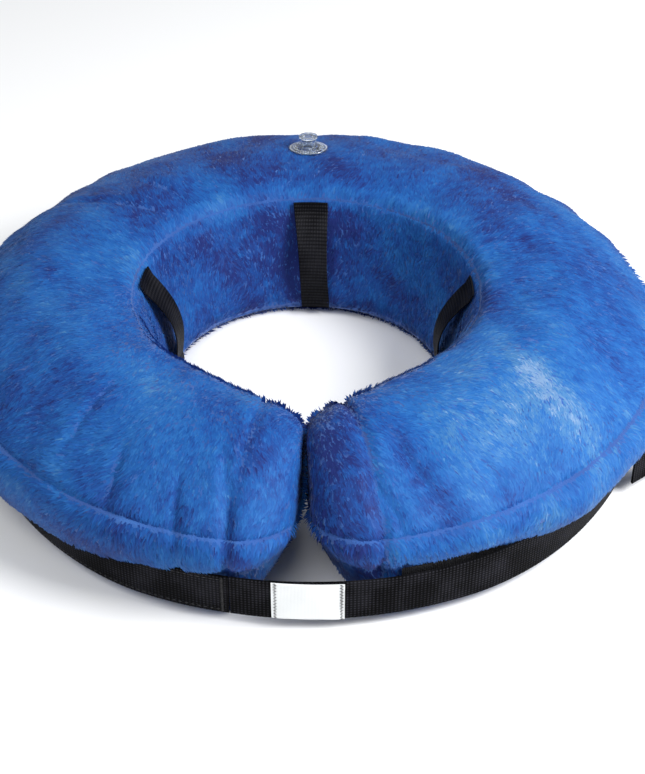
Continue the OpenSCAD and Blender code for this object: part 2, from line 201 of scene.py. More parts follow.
tuck_depth = 9


def tucked(points):
    """Draws the foot of the outer wall inwards at the ring's two sides, where the cover rolls under.

    The pull grows from the top of the strap's seat down, and fades to nothing at the middle of the
    underside. It is nothing at the back and at the front, and most at the two sides."""
    x, y, z = np.moveaxis(points, 2, 0)
    radius = np.hypot(x, y)
    off_side = (np.degrees(np.arctan2(y, np.abs(x))) + 12) / 52
    share = np.clip(1 - off_side**2, 0, 1) ** 1.5
    low = np.clip((seat_edge[1] - z) / (seat_edge[1] - foot[1]), 0, 1.1)
    pull = tuck_depth * share * low * np.clip((radius - 120) / 70, 0, 1)
    shrink = 1 - pull / radius
    return np.stack([x * shrink, y * shrink, z], 2)


def grid_faces(rows, cols):
    """Quads of a grid whose columns close on themselves; the rows are left open."""
    i, j = np.meshgrid(np.arange(rows - 1), np.arange(cols), indexing="ij")
    k = (j + 1) % cols
    return np.stack([i * cols + j, (i + 1) * cols + j, (i + 1) * cols + k, i * cols + k], 2).reshape(-1, 4)


def blow_up(grid, held, growth, pressure, frames, limit):
    """Lets the cover swell as cloth under air pressure, held along its seams, and returns the moved grid.

    The cloth is cut a little larger than the form it starts from, which gathers it along the seams.
    No point moves further than limit, in millimetres."""
    rows, cols = grid.shape[:2]
    mesh = bpy.data.meshes.new("blowing_up")
    mesh.from_pydata((grid.reshape(-1, 3) * mm).tolist(), [], grid_faces(rows, cols).tolist())
    cloth = bpy.data.objects.new("blowing_up", mesh)
    scene.collection.objects.link(cloth)
    cloth.vertex_groups.new(name="held").add(np.flatnonzero(held.ravel()).tolist(), 1.0, "REPLACE")
    air = cloth.modifiers.new("air", "CLOTH")
    air.settings.use_pressure = True
    air.settings.uniform_pressure_force = pressure
    air.settings.vertex_group_mass = "held"
    air.settings.effector_weights.gravity = 0
    air.settings.shrink_min = -growth
    air.settings.bending_stiffness = 0.4
    air.collision_settings.use_collision = False
    air.point_cache.frame_end = frames
    for frame_number in range(1, frames + 1):
        scene.frame_set(frame_number)
    swollen = cloth.evaluated_get(bpy.context.evaluated_depsgraph_get()).data
    moved = np.empty(rows * cols * 3, np.float32)
    swollen.vertices.foreach_get("co", moved)
    bpy.data.objects.remove(cloth)
    bpy.data.meshes.remove(mesh)
    scene.frame_set(1)
    shift = moved.reshape(grid.shape).astype(float) / mm - grid
    length = np.linalg.norm(shift, axis=2, keepdims=True)
    return grid + shift / np.maximum(length, 1e-9) * limit * np.tanh(length / limit)


left_drop, right_drop, left_bulge, right_bulge = 13, 12.5, 4, 4.5


def rolled(points):
    """Lets the outer wall bulge and hang over the strap's upper edge at the ring's two sides.

    The panel above the strap's seat bulges by share + 0.6 * sin(pi * share) and drops by share^1.5,
    share running from the brim seam down to the seat. It does so from 150 to 264 degrees at the left
    and from 291 to 362 degrees at the right, fading in and out."""
    turn = np.degrees(np.arctan2(points[:, seat_column, 1], points[:, seat_column, 0])) % 360
    left = np.clip((turn - 150) / 14, 0, 1) * np.clip((264 - turn) / 30, 0, 1)
    right = np.clip((turn - 291) / 26, 0, 1) * np.clip((362 - turn) / 16, 0, 1)
    share = np.clip((np.arange(columns) - brim_column) / (seat_column - brim_column), 0, 1)
    share[seat_column + 1:] = 0
    drop = (left_drop * left + right_drop * right)[:, None] * share**1.5
    bulge = (left_bulge * left + right_bulge * right)[:, None] * (share + 0.6 * np.sin(np.pi * share))
    x, y, z = np.moveaxis(points, 2, 0)
    grow = 1 + bulge / np.hypot(x, y)
    return np.stack([x * grow, y * grow, z - drop], 2)


corner_pull, corner_reach = 32, 68


def rounded_ends(points):
    """Draws the inner corners of the two arms' ends forward, so that the hole narrows into the gap.

    The pull is corner_pull * (1 - off / corner_reach)^2 where off is the distance from the middle, and
    it fades with the distance from the ring's inner edge."""
    x, y, z = np.moveaxis(points, 2, 0)
    near = (1 - np.clip(np.abs(x) / corner_reach, 0, 1)) ** 2 * (y < 0)
    inner = np.clip((158 - np.hypot(x, y)) / 80, 0, 1)
    return np.stack([x, y - corner_pull * near * inner, z], 2)


cover = rolled(tucked(rounded_ends(ring_grid())))
held = np.zeros(cover.shape[:2], bool)
held[:cap_rows + 1] = held[-cap_rows - 1:] = True
held[:, [neck_column, rim_column, brim_column]] = True
held[:, seat_column:] = True
cover = blow_up(cover, held, 0.035, 4, 20, 8)


def refine(grid, fine, closed):
    """Puts fine - 1 new rows between neighbours on Catmull-Rom curves through the old rows."""
    padded = np.concatenate([grid[-1:], grid, grid[:2]] if closed else
                            [2 * grid[:1] - grid[1:2], grid, 2 * grid[-1:] - grid[-2:-1]])
    a, b, c, d = (padded[k:len(padded) - 3 + k] for k in range(4))
    t = (np.arange(fine) / fine)[:, None, None, None]
    curve = 0.5 * (2 * b + (c - a) * t + (2 * a - 5 * b + 4 * c - d) * t**2 + (3 * b - a - 3 * c + d) * t**3)
    curve = curve.swapaxes(0, 1).reshape(-1, *grid.shape[1:])
    return curve if closed else np.concatenate([curve, grid[-1:]])


fine = 2
cover = refine(cover, fine, False)
cover = refine(cover.swapaxes(0, 1), fine, True).swapaxes(0, 1)
cover_rows, cover_columns = cover.shape[:2]
middle_row = cover_rows // 2
end_row = cap_rows * fine


def outward(grid):
    """Unit normals of a grid that closes along its columns, from the cross product of its slopes."""
    down = np.gradient(grid, axis=0)
    round_ = np.roll(grid, -1, 1) - np.roll(grid, 1, 1)
    return unit(np.cross(round_, down))


# Every seam is pinched: the cover dips along it in a narrow groove, deepest at the arms' ends, and
# puckers run a little way out from it
normal = outward(cover)
step_mm = np.linalg.norm(np.roll(cover, -1, 1) - cover, axis=2).mean(0)
column_mm = np.concatenate([[0], np.cumsum(step_mm)[:-1]])
girth = step_mm.sum()
seam_lines = [(neck_column, 1.5, 0.3), (rim_column, 2.6, 0.5), (brim_column, 2.6, 0.9), (foot_column, 1, 0.3)]
radius = np.hypot(cover[:, :, 0], cover[:, :, 1])
bearings = np.degrees(np.arctan2(cover[:, :, 1], cover[:, :, 0]))
bearing = bearings[:, [brim_column * fine]]
dip = np.zeros(cover.shape[:2])
pucker = np.zeros(cover.shape[:2])
for number, (column, depth, crease) in enumerate(seam_lines):
    gap = np.abs(column_mm - column_mm[column * fine])
    gap = np.minimum(gap, girth - gap)
    dip += depth * np.exp(-(gap / 2.2) ** 2)
    gathers = smooth_noise(bearing * [1, 0, 0], 9, 70 + number)
    pucker += crease * gathers[:, None] * np.exp(-((gap - 7) / 9) ** 2)
row_mm = np.linalg.norm(np.diff(cover, axis=0), axis=2)
row_mm = np.concatenate([np.zeros((1, cover_columns)), np.cumsum(row_mm, 0)])
for row, depth in ((end_row, 3.2), (cover_rows - 1 - end_row, 1.8)):
    dip += depth * np.exp(-((row_mm - row_mm[row]) / 2.6) ** 2)
free = np.ones(cover_columns)
free[seat_column * fine:] = 0
sway = smooth_noise(cover, 60, 3) * 1.1 + smooth_noise(cover, 26, 4) * 0.45
back_bulge = 4.5
sway += back_bulge * np.exp(-((bearing - 90) / 36) ** 2 - ((radius - 188) / 15) ** 2) * (cover[:, :, 2] > 55)
# A few long creases: bearing in degrees, radius, half length out and half width across, depth
creases = ((258, 188, 26, 2.4, 3.2), (251, 196, 18, 2.2, 2.4), (240, 190, 16, 2.5, 1.8),
           (145, 150, 30, 3.5, 2.6), (132, 128, 16, 2.6, 1.8), (283, 190, 14, 2.4, 2.6),
           (288, 170, 20, 3, 1.8), (228, 165, 22, 2.5, 1.4), (300, 186, 12, 2.4, 1.6))
crease_slant = 0.25
for turn, middle_r, reach, width, depth in creases:
    out = radius - middle_r
    off_line = np.radians((bearings - turn + 180) % 360 - 180) * middle_r - crease_slant * out
    pucker -= depth * np.exp(-(off_line / width) ** 2 - (out / reach) ** 4) * (cover[:, :, 2] > 12)
cover = cover + normal * ((sway + pucker) * free - dip)[:, :, None]
normal = outward(cover)


def save_mesh(name, materials, points, faces, smooth=True):
    """A mesh object from points in millimetres and faces as arrays of equal length or a list of them."""
    mesh = bpy.data.meshes.new(name)
    for material in materials:
        mesh.materials.append(material)
    groups = faces if isinstance(faces, list) else [faces]
    sizes = np.concatenate([np.full(len(f), f.shape[1]) for f in groups])
    mesh.vertices.add(len(points))
    mesh.vertices.foreach_set("co", (np.asarray(points) * mm).astype(np.float32).ravel())
    mesh.loops.add(int(sizes.sum()))
    mesh.loops.foreach_set("vertex_index", np.concatenate([f.ravel() for f in groups]).astype(np.int32))
    mesh.polygons.add(len(sizes))
    mesh.polygons.foreach_set("loop_start", np.concatenate([[0], np.cumsum(sizes)[:-1]]).astype(np.int32))
    mesh.polygons.foreach_set("use_smooth", np.full(len(sizes), smooth))
    mesh.update(calc_edges=True)
    piece = bpy.data.objects.new(name, mesh)
    scene.collection.objects.link(piece)
    return piece


def closed_half(half, is_left):
    """One half of a ring, its middle row first, closed by a fan of triangles over each of its ends."""
    rows, cols = half.shape[:2]
    body = half[:-1].reshape(-1, 3)
    pole, hub = half[-1].mean(0), half[0].mean(0)
    faces = grid_faces(rows - 1, cols)
    j = np.arange(cols)
    k = (j + 1) % cols
    last = (rows - 2) * cols
    tip = np.stack([last + j, np.full(cols, len(body)), last + k], 1)
    wall = np.stack([k, np.full(cols, len(body) + 1), j], 1)
    if not is_left:
        faces, tip, wall = faces[:, ::-1], tip[:, ::-1], wall[:, ::-1]
    return np.concatenate([body, [pole, hub]]), [faces, tip, wall], cols


def node(material, kind, **values):
    """A shader node with its settings and input values set by name."""
    made = material.node_tree.nodes.new(kind)
    for key, value in values.items():
        if key in made.inputs:
            made.inputs[key].default_value = value
        else:
            setattr(made, key, value)
    return made


def link(material, source, output, target, name):
    """Joins one node's output to another node's input."""
    material.node_tree.links.new(source.outputs[output], target.inputs[name])


def feed(material, source, output, name):
    """Joins a node's output to an input of the material's own shader."""
    link(material, source, output, material.node_tree.nodes["Principled BSDF"], name)


def clouds(material, **values):
    """A noise on the object's own coordinates."""
    noise = node(material, "ShaderNodeTexNoise", **values)
    link(material, node(material, "ShaderNodeTexCoord"), "Object", noise, "Vector")
    return noise


def ramp(material, source, output, stops):
    """A colour ramp fed by a value, with its (place, colour) stops."""
    made = node(material, "ShaderNodeValToRGB")
    elements = made.color_ramp.elements
    while len(elements) < len(stops):
        elements.new(0.5)
    for element, (place, colour) in zip(elements, stops):
        element.position = place
        element.color = (*colour, 1)
    link(material, source, output, made, "Fac")
    return made


plush = shaded("plush_backing", Roughness=0.85, Sheen_Weight=0.25)
patches = clouds(plush, Scale=26, Detail=6, Roughness=0.65)
blues = [(0.3, (0.008, 0.045, 0.21)), (0.55, (0.014, 0.085, 0.33)), (0.75, (0.03, 0.14, 0.43))]
feed(plush, ramp(plush, patches, "Fac", blues), "Color", "Base Color")
nap = node(plush, "ShaderNodeBump", Strength=0.6, Distance=0.0008)
link(plush, clouds(plush, Scale=900, Detail=3), "Fac", nap, "Height")
feed(plush, nap, "Normal", "Normal")


def bend_with_arm(piece):
    """Bakes a piece's placement into its mesh."""
    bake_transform(piece)


for is_left, word in ((True, "left"), (False, "right")):
    points, faces, cols = closed_half(cover[middle_row:] if is_left else cover[middle_row::-1], is_left)
    piece = save_mesh(f"plush_cover_{word}", [plush], points, faces)
    ends = np.empty(len(piece.data.edges) * 2, np.int32)
    piece.data.edges.foreach_get("vertices", ends)
    sharp = (ends.reshape(-1, 2) < cols).all(1)
    piece.data.attributes.new("sharp_edge", "BOOLEAN", "EDGE").data.foreach_set("value", sharp)
    bend_with_arm(piece)
    back = [] if is_left else ["cover_top_back", "cover_inner_back", "cover_outer_back", "cover_bottom_back"]
    own_side = [f"cover_{panel}_{word}" for panel in ("top", "inner", "outer", "bottom", "end")]
    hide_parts(*back, *own_side)

# ---------- Pile
# The face of the plush: fine polyester fibres about 6 mm long that lie in locks. They point up the wall of
# the hole, outwards over the top and down the outer wall, sway in swirls, and look light or dark by the
# way they were stroked. Painted light and shade lie over that: a painted pool of light at the front right,
# and painted shade over the back of the top, on faces turned from the key lamp, on the hole's wall away
# from the right and on the arms' end panels.
# The pile's shades, darkest first. Each lock takes one by its tone, so the shades carry both the pile's own
# patches and the painted light and shade
shade_stops = np.array([(0.009, 0.021, 0.135), (0.008, 0.052, 0.24), (0.009, 0.088, 0.325),
                        (0.018, 0.122, 0.37), (0.053, 0.172, 0.375), (0.155, 0.26, 0.43)])
shade_count = 11
shade_places = np.linspace(0, len(shade_stops) - 1, shade_count)
pile_materials = []
for number, at in enumerate(shade_places):
    shade = [float(np.interp(at, np.arange(len(shade_stops)), stop)) for stop in shade_stops.T]
    pile_materials.append(shaded(f"plush_pile_{number + 1}", Base_Color=(*shade, 1), Roughness=0.6,
                                 Sheen_Weight=0.04, Specular_IOR_Level=0.15))

blade_vertices = 5


def grow_pile(name, grid, normals, weight, short, ahead, count, seed, length=6, lift=0.65, width=1.1):
    """Strews leaf-shaped locks of pile over a grid, as one mesh of a quad and a triangle each.

    Cells are drawn in proportion to their area times weight. Each lock starts at a random place in its
    cell, follows the columns' direction turned by a swirling angle, and rises from the cover and levels
    off. Where short is below 1 it is cropped to that share, and it does not reach past the seam that lies
    ahead of it. Its shade comes from broad patches, from streaks along the pile and from chance, from a
    lighter band along the back of the rim, and from painted light and shade: a painted pool of light at the
    front right, and painted shade over the back of the top, on faces turned from the key lamp, on the hole's
    wall away from the right and on the arms' end panels. It takes the cover's own normals with a little of
    the lock's slope, as a dense pile is lit as one."""
    draw = np.random.default_rng(seed)
    after = np.roll(grid, -1, 1)
    edge_a, edge_b = grid[1:] - grid[:-1], after[:-1] - grid[:-1]
    area = np.linalg.norm(np.cross(edge_a, edge_b), axis=2) * weight[:-1]
    cell = draw.choice(area.size, count, p=area.ravel() / area.sum())
    i, j = np.unravel_index(cell, area.shape)
    k = (j + 1) % grid.shape[1]
    u, v = draw.random((2, count, 1))

    def at(field):
        return (field[i, j] * (1 - u) * (1 - v) + field[i + 1, j] * u * (1 - v)
                + field[i, k] * (1 - u) * v + field[i + 1, k] * u * v)

    root, up = at(grid), at(normals)
    flow = at(np.roll(grid, -1, 1) - np.roll(grid, 1, 1))
    flow = unit(flow - up * (flow * up).sum(1, keepdims=True))
    side = np.cross(up, flow)
    swirl = (0.75 * smooth_noise(root, 150, 21) + 0.4 * smooth_noise(root, 45, 22)
             + 0.25 * smooth_noise(root, 13, 23) + draw.normal(0, 0.14, count))[:, None]
    way = flow * np.cos(swirl) + side * np.sin(swirl)
    side = np.cross(up, way)
    roll = draw.normal(0, 0.16, count)[:, None]
    flat = side * np.cos(roll) + up * np.sin(roll)
    stroke = smooth_noise(root, 95, 31)
    cropped = at(short[:, :, None])
    reach = (length * draw.uniform(0.6, 1.25, count))[:, None] * cropped
    reach = np.minimum(reach, at(np.broadcast_to(ahead, grid.shape[:2])[:, :, None]) + 0.4)
    rise = (lift * draw.uniform(0.5, 1.3, count) * (1 + 0.35 * stroke))[:, None] * cropped
    half = (width * draw.uniform(0.35, 0.65, count))[:, None]
    base = root - up * 0.5
    knee = base + way * reach * 0.5 + up * (0.5 + rise * 0.85)
    tip = base + way * reach + up * (0.5 + rise)
    corners = np.stack([base - flat * half * 0.7, base + flat * half * 0.7,
                        knee + flat * half, knee - flat * half, tip], 1).reshape(-1, 3)
    first = np.arange(count)[:, None] * blade_vertices
    piece = save_mesh(name, pile_materials, corners, [first + [3, 2, 1, 0], first + [4, 2, 3]])
    lit = unit(up + way * draw.normal(0.05, 0.09, (count, 1)) + side * draw.normal(0, 0.07, (count, 1)))
    piece.data.normals_split_custom_set_from_vertices(np.repeat(lit, blade_vertices, 0).tolist())
    streak = smooth_noise(root, 8, 34) + 0.6 * smooth_noise(root, 4, 35)
    # Painted light and shade: a painted pool of light at the front right, and painted shade over the back of
    # the top, on faces turned from the key lamp, on the hole's wall away from the right and on the arms' end
    # panels. The fringe is a lighter band along the back of the rim
    sunny = np.exp(-((root[:, 0] - 118) / 55) ** 2 - ((root[:, 1] + 112) / 60) ** 2)
    shady = np.exp(-(root[:, 0] / 210) ** 2 - ((root[:, 1] - 130) / 75) ** 2)
    reach_from_middle = np.hypot(root[:, 0], root[:, 1])
    fringe = np.exp(-((reach_from_middle - 104) / 6) ** 2) * (root[:, 2] > 66) * (root[:, 1] > 0)
    turned_from_lamp_shade = np.clip(-up[:, 0], 0, 1)
    hole_wall_shade = (reach_from_middle < 96) * np.clip((60 - root[:, 0]) / 40, 0, 1)
    near_gap = (root[:, 1] < -70) & (np.abs(root[:, 0]) < 46)
    on_panel = np.abs(root[:, 0]) < end_start - end_slope * root[:, 1] + 1
    end_shade = near_gap * on_panel * np.where(root[:, 0] > 0, 1.5 - 0.4 * (up[:, 0] < -0.5), 0.4)
    # The tone runs from 0, the darkest shade, to 5, the lightest, and holds painted light and shade
    tone = (1.95 + 0.55 * stroke + 0.8 * smooth_noise(root, 36, 32) + 0.5 * streak + 1.5 * sunny - 0.8 * shady
            + 0.7 * fringe - 0.5 * turned_from_lamp_shade - 0.85 * hole_wall_shade - end_shade + draw.normal(0, 0.34, count))
    tone = np.clip(np.rint(tone * (shade_count - 1) / 5), 0, shade_count - 1).astype(np.int32)
    piece.visible_shadow = False
    piece.data.polygons.foreach_set("material_index", np.concatenate([tone, tone]))
    return piece


# No pile grows behind the strap, the tapes, the zip or the valve, and only a little underneath
valve_seat = np.array([0, 153.9, 81.3])
angle = np.degrees(np.arctan2(cover[:, :, 1], cover[:, :, 0])) % 360
height = cover[:, :, 2]
wall_face = np.zeros(cover.shape[:2], bool)
wall_face[:, seat_column * fine:foot_column * fine] = True
wall_face[:end_row] = wall_face[-end_row:] = False
strap_top, zip_top, valve_clear = 29, 31, 12.5
strapped = (angle > 151) & (angle < 348) & (height < strap_top)
zipped = (angle > 55) & (angle < 125) & (height < zip_top)
pile_weight = np.ones(cover.shape[:2])
pile_weight[wall_face & (strapped | zipped)] = 0
pile_weight[np.linalg.norm(cover - valve_seat, axis=2) < valve_clear] = 0
under = np.zeros(cover_columns, bool)
under[foot_column * fine:] = True
pile_weight[end_row:-end_row, under] *= 0.25
top_face = np.zeros(cover_columns, bool)
top_face[rim_column * fine:brim_column * fine] = True

# Along the seams the pile is caught in the stitches, so it is cropped and thin there
cropping = 1 - 0.7 * np.clip(dip / dip.max() * 1.3, 0, 1) ** 2
pile_weight *= cropping
seam_mm = np.array([column_mm[column * fine] for column, *_ in seam_lines])
to_next_seam = ((seam_mm[:, None] - column_mm - 0.01) % girth).min(0)

for is_left, word in ((True, "left"), (False, "right")):
    rows = slice(middle_row, None) if is_left else slice(None, middle_row + 1)
    for region, share, count in (("top", top_face, 60000), ("sides", ~top_face, 62000)):
        name = f"plush_pile_{region}_{word}"
        weight = pile_weight[rows] * share
        piece = grow_pile(name, cover[rows], normal[rows], weight, cropping[rows], to_next_seam, count,
                          40 + len(name) + is_left)
        bend_with_arm(piece)

# ---------- Bladder
# The air ring inside the cover: clear vinyl film, blown up through the valve until it lies close against
# the cover. It is the cover's own form drawn inwards, with small creases.
def uneven_gloss(material, noise, low, high):
    """Roughness that runs from low to high with a noise."""
    gloss = node(material, "ShaderNodeMapRange", **{"To Min": low, "To Max": high})
    link(material, noise, "Fac", gloss, "Value")
    feed(material, gloss, "Result", "Roughness")


film = shaded("clear_film", Base_Color=(0.82, 0.9, 0.97, 1), Transmission_Weight=0.6, IOR=1.5)
uneven_gloss(film, clouds(film, Scale=60, Detail=4), 0.08, 0.3)
film_inside, film_creases = 6.5, 0.4
bladder = tucked(rounded_ends(ring_grid()))
bladder -= outward(bladder) * (film_inside - smooth_noise(bladder, 18, 51)[:, :, None] * film_creases)
for is_left, word in ((True, "left"), (False, "right")):
    half = bladder[half_rows + cap_rows:] if is_left else bladder[half_rows + cap_rows::-1]
    half = half[:-cap_rows // 2]
    points, faces, cols = closed_half(half, is_left)
    piece = save_mesh(f"air_bladder_{word}", [film], points, faces)
    bend_with_arm(piece)
    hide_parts(*(["bladder_left", "bladder_back"] if is_left else ["bladder_right"]))

# ---------- Webbing
# Black polyester webbing 25 mm wide, woven in ribs. It is sewn round the outside of the left arm, and
# runs on past its last stitch as the closing strap, with a free tip that stands off at the right.
webbing_low, webbing_high = (corner.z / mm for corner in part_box("sewn_webbing"))
webbing_t = 1.4
wall_r = 202.2
last_stitch = 0.4
seam_forward, seam_off = end_line(seat_edge[0])
sewn_from = 152
sewn_to = 270 - math.degrees(math.atan2(seam_off, seam_forward)) + last_stitch
strap_shift, strap_way = 4, 340
strap_centre = strap_shift * np.array([math.cos(math.radians(strap_way)), math.sin(math.radians(strap_way))])
strap_r = wall_r - strap_shift * math.cos(math.radians(strap_way - sewn_to))
strap_to, tip_flare, tip_len, tip_gap = 331.5, 22, 30, 0.8
hinge_gap = math.degrees(0.05 / strap_r)
rib, warp, weave_depth = 1.5, 1.3, 0.11


def own_angle(turn):
    """An angle about the ring's middle, counted about the strap's own centre instead."""
    return turn - math.degrees(math.asin(strap_shift * math.sin(math.radians(strap_way - turn)) / strap_r))


def band_ring(across, thick, relief):
    """One closed outline of a band, as (out, up): its outer face from low to high, then its inner face.

    The corners are rounded off, and relief lifts the outer face."""
    edge = np.minimum(1, np.sqrt(np.clip(np.minimum(across, across[-1] - across) / 0.5, 0, 1)) * 0.65 + 0.35)
    outer = np.stack([thick * (0.5 + 0.5 * edge) + relief, across], 1)
    inner = np.stack([thick * (0.5 - 0.5 * edge), across], 1)[::-4]
    return np.concatenate([outer, inner])


def weave(run, up):
    """Height of a ribbed weave: ribs across the band, broken by the warp into staggered knots."""
    knots = np.cos(2 * np.pi * up / warp + np.pi * np.floor(run / rib))
    return np.sin(2 * np.pi * run / rib) * (0.45 + 0.55 * knots)


def lay_flat(rings, run, low):
    """Band outlines set at their places along a run, as (out, run, up), from a height upwards."""
    return np.stack([rings[:, :, 0], np.broadcast_to(run[:, None], rings.shape[:2]), rings[:, :, 1] + low], 2)


def band_grid(run, low, high, thick, depth=0, count=None):
    """Rows of outlines of a woven band, with the weave in relief on its outer face."""
    across = np.linspace(0, high - low, count or int((high - low) / 0.65))
    return lay_flat(np.stack([band_ring(across, thick, depth * weave(x, across)) for x in run]), run, low)


def round_ring(flat, radius, start, centre=(0, 0)):
    """Lays (out, run, up) rows round a circle from a start angle, tucked in at the sides as the cover is.

    The run is counted along the circle, which is the band's inner face."""
    turn = math.radians(start) + flat[:, :, 1] / radius
    r = radius + flat[:, :, 0]
    return tucked(np.stack([centre[0] + r * np.cos(turn), centre[1] + r * np.sin(turn), flat[:, :, 2]], 2))


def loft(name, material, rings, run, turned=False):
    """A closed solid through rows of closed outlines, with a UV map along and round it in units of 100 mm."""
    rows, cols = rings.shape[:2]
    faces = grid_faces(rows, cols)
    j = np.arange(cols)
    k = (j + 1) % cols
    last = (rows - 1) * cols
    start = np.stack([np.full(cols, rows * cols), k, j], 1)
    end = np.stack([np.full(cols, rows * cols + 1), last + j, last + k], 1)
    if turned:
        faces, start, end = faces[:, ::-1], start[:, ::-1], end[:, ::-1]
    points = np.concatenate([rings.reshape(-1, 3), [rings[0].mean(0), rings[-1].mean(0)]])
    piece = save_mesh(name, [material], points, [faces, start, end])
    step = np.linalg.norm(np.roll(rings[0], -1, 0) - rings[0], axis=1)
    round_mm = np.concatenate([[0], np.cumsum(step)])
    i, j = np.meshgrid(np.arange(rows - 1), np.arange(cols), indexing="ij")
    corner_u = np.stack([run[i], run[i + 1], run[i + 1], run[i]], 2).reshape(-1, 4)
    corner_v = np.stack([round_mm[j], round_mm[j], round_mm[j + 1], round_mm[j + 1]], 2).reshape(-1, 4)
    if turned:
        corner_u, corner_v = corner_u[:, ::-1], corner_v[:, ::-1]
    uv = np.concatenate([np.stack([corner_u, corner_v], 2).reshape(-1, 2), np.zeros((6 * cols, 2))])
    piece.data.uv_layers.new(name="weave").data.foreach_set("uv", (uv * 0.01).astype(np.float32).ravel())
    return piece


def maths(material, operation, *terms):
    """The result of a Math node, as its (node, output); each term is a number or such a pair."""
    made = node(material, "ShaderNodeMath", operation=operation)
    for place, term in enumerate(terms):
        if isinstance(term, tuple):
            link(material, *term, made, place)
        else:
            made.inputs[place].default_value = term
    return made, "Value"


def woven_material(name, dark, light, pitch, cross, roughness, bump=0.0004, shine=0.04, space="UV"):
    """Woven cloth: knots where ribs cross threads, in relief and with a painted highlight, faded by wear.

    It runs on a UV map in units of 100 mm, or across X and Z of the object's coordinates in metres.
    The knots are (0.5 + 0.5 sin x)(0.5 + 0.5 sin y)."""
    cloth = shaded(name, Specular_IOR_Level=shine)
    parts = node(cloth, "ShaderNodeSeparateXYZ")
    link(cloth, node(cloth, "ShaderNodeTexCoord"), space, parts, "Vector")
    per_mm = 100 if space == "UV" else 1000
    waves = []
    for axis, step in (("X", pitch), ("Y" if space == "UV" else "Z", cross)):
        turns = maths(cloth, "MULTIPLY", (parts, axis), 2 * math.pi * per_mm / step)
        waves.append(maths(cloth, "MULTIPLY_ADD", maths(cloth, "SINE", turns), 0.5, 0.5))
    knots = maths(cloth, "MULTIPLY", *waves)
    wear = clouds(cloth, Scale=55, Detail=5)
    faded = maths(cloth, "MULTIPLY_ADD", knots, 0.5, (wear, "Fac"))
    # The knots' lighter colour is a painted highlight on the weave's raised crossings
    between = [a + (b - a) * 0.35 for a, b in zip(dark, light)]
    feed(cloth, ramp(cloth, *faded, [(0.48, dark), (0.74, between), (0.96, light)]), "Color", "Base Color")
    uneven_gloss(cloth, wear, roughness - 0.12, roughness + 0.12)
    raised = node(cloth, "ShaderNodeBump", Strength=0.7, Distance=bump)
    link(cloth, *knots, raised, "Height")
    feed(cloth, raised, "Normal", "Normal")
    return cloth


webbing_dark, webbing_light = (0.0004, 0.0004, 0.0008), (0.026, 0.026, 0.033)
webbing_cloth = woven_material("webbing_weave", webbing_dark, webbing_light, 1.9, 1.6, 0.6)


def bent_run(length, step):
    """Even steps from nothing to a length, both ends included."""
    return np.linspace(0, length, int(length / step) + 1)


run = bent_run(math.radians(sewn_to - sewn_from) * wall_r - 0.4, 0.6)
flat = band_grid(run, webbing_low, webbing_high, webbing_t, weave_depth)
sewn = loft("webbing_on_left_arm", webbing_cloth, round_ring(flat, wall_r, sewn_from), run)
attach(sewn, "left_arm")
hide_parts("sewn_webbing")

strap_start = own_angle(sewn_to) + hinge_gap
run = bent_run(math.radians(own_angle(strap_to) - strap_start) * strap_r, 0.6)
flat = band_grid(run, webbing_low, webbing_high, webbing_t, weave_depth)
flat[:, :, 0] += (0.35 * np.sin(run / 23) * np.clip(run / 40, 0, 1))[:, None] * np.cos(flat[:, :, 2] / 9)
rings = round_ring(flat, strap_r, strap_start, strap_centre)
strap = loft("closing_strap_webbing", webbing_cloth, rings, run)
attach(strap, "strap")
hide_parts("closing_strap")

# The free tip starts at the strap's end, leans outwards and curls, and is cut round
run = bent_run(tip_len - 0.3, 0.6)
flat = band_grid(run, webbing_low, webbing_high, webbing_t, weave_depth)
width = webbing_high - webbing_low
centre_up = (webbing_low + webbing_high) / 2
past = np.clip((run - (tip_len - width / 2)) / (width / 2), 0, 0.999)
flat[:, :, 2] = centre_up + (flat[:, :, 2] - centre_up) * np.sqrt(1 - past**2)[:, None]
flat[:, :, 0] += ((run / tip_len) ** 2 * 1.5)[:, None] - webbing_t
turn = math.radians(own_angle(strap_to))
flare = turn - math.radians(tip_flare)
hinge = strap_centre + (strap_r + webbing_t) * np.array([math.cos(turn), math.sin(turn)])
out_way = np.array([math.cos(flare), math.sin(flare)])
run_way = np.array([-math.sin(flare), math.cos(flare)])
tip_xy = hinge + flat[:, :, :1] * out_way + (flat[:, :, 1:2] + tip_gap) * run_way
tip_piece = loft("strap_free_tip", webbing_cloth, np.concatenate([tip_xy, flat[:, :, 2:]], 2), run)
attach(tip_piece, "tip")
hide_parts("strap_tip")

# ---------- Stitching
# Bonded black thread: a row along each edge of the sewn webbing, and a bar of close stitches where the
# strap leaves the arm. Each stitch is a short grain pressed into the cloth.
thread = shaded("black_thread", Roughness=0.45)
blacks = [(0.35, (0.008, 0.008, 0.009)), (0.7, (0.045, 0.045, 0.05))]
feed(thread, ramp(thread, clouds(thread, Scale=1500), "Fac", blacks), "Color", "Base Color")
stitch_half_w, stitch_half_h = 0.35, 0.3


